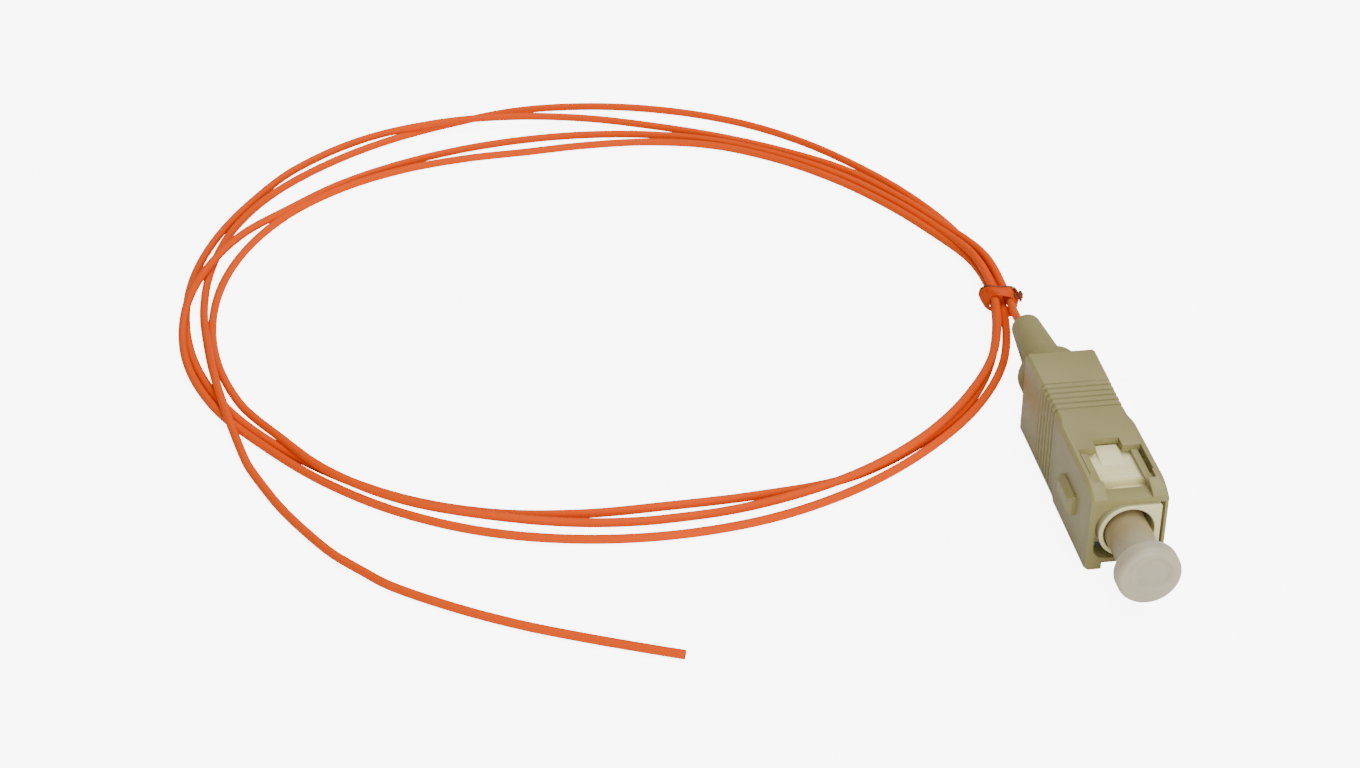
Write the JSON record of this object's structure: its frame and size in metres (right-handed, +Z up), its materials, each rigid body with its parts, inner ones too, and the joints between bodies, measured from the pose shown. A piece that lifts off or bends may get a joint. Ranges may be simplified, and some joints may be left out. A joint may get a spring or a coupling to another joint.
{
  "type": "fibre optic pigtail",
  "caption": "Short length of buffered optical fibre, tied in a loose coil, with a square push-pull plug, rubber boot and dust cap on one end and the other end cut bare.",
  "frame": {"origin": "on the plug's underside below its axis, 11 mm behind the outer housing's front face, on the floor that everything lies on", "axes": "+Y from the plug's front towards the boot and the fibre, +Z up, +X to the right seen from the plug's front face looking along +Y, with the key on the -X side"},
  "size_m": [0.0912, 0.1088, 0.009],
  "materials": {
    "housing": "satin moulded, warm beige",
    "body": "satin moulded, cream",
    "ceramic": "polished",
    "metal": "plain machined",
    "boot": "matt, warm beige",
    "cap": "frosted, slightly see-through",
    "fibre": "smooth, slight sheen",
    "tie": "plain, over a thin wire"
  },
  "bodies": {
    "plug": {"inner_body": "body", "rear_body": "metal", "boot": "boot", "fibre_lead": "fibre", "fibre_coil": "fibre", "fibre_tail": "fibre", "twist_tie": "tie"},
    "housing": {"outer_housing": "housing"},
    "ferrule": {"ferrule": "ceramic", "ferrule_flange": "metal"},
    "cap": {"dust_cap": "cap"}
  },
  "joints": [
    {"name": "housing_slide", "type": "slide", "parent": "plug", "child": "housing", "axis": [0, 1, 0], "range_m": [0, 0.0012]},
    {"name": "ferrule_float", "type": "slide", "parent": "plug", "child": "ferrule", "axis": [0, 1, 0], "range_m": [0, 0.001], "stiffness_N_per_m": 1500, "springref_m": -0.002},
    {"name": "cap_pull", "type": "slide", "parent": "ferrule", "child": "cap", "axis": [0, -1, 0], "range_m": [0, 0.012]}
  ]
}
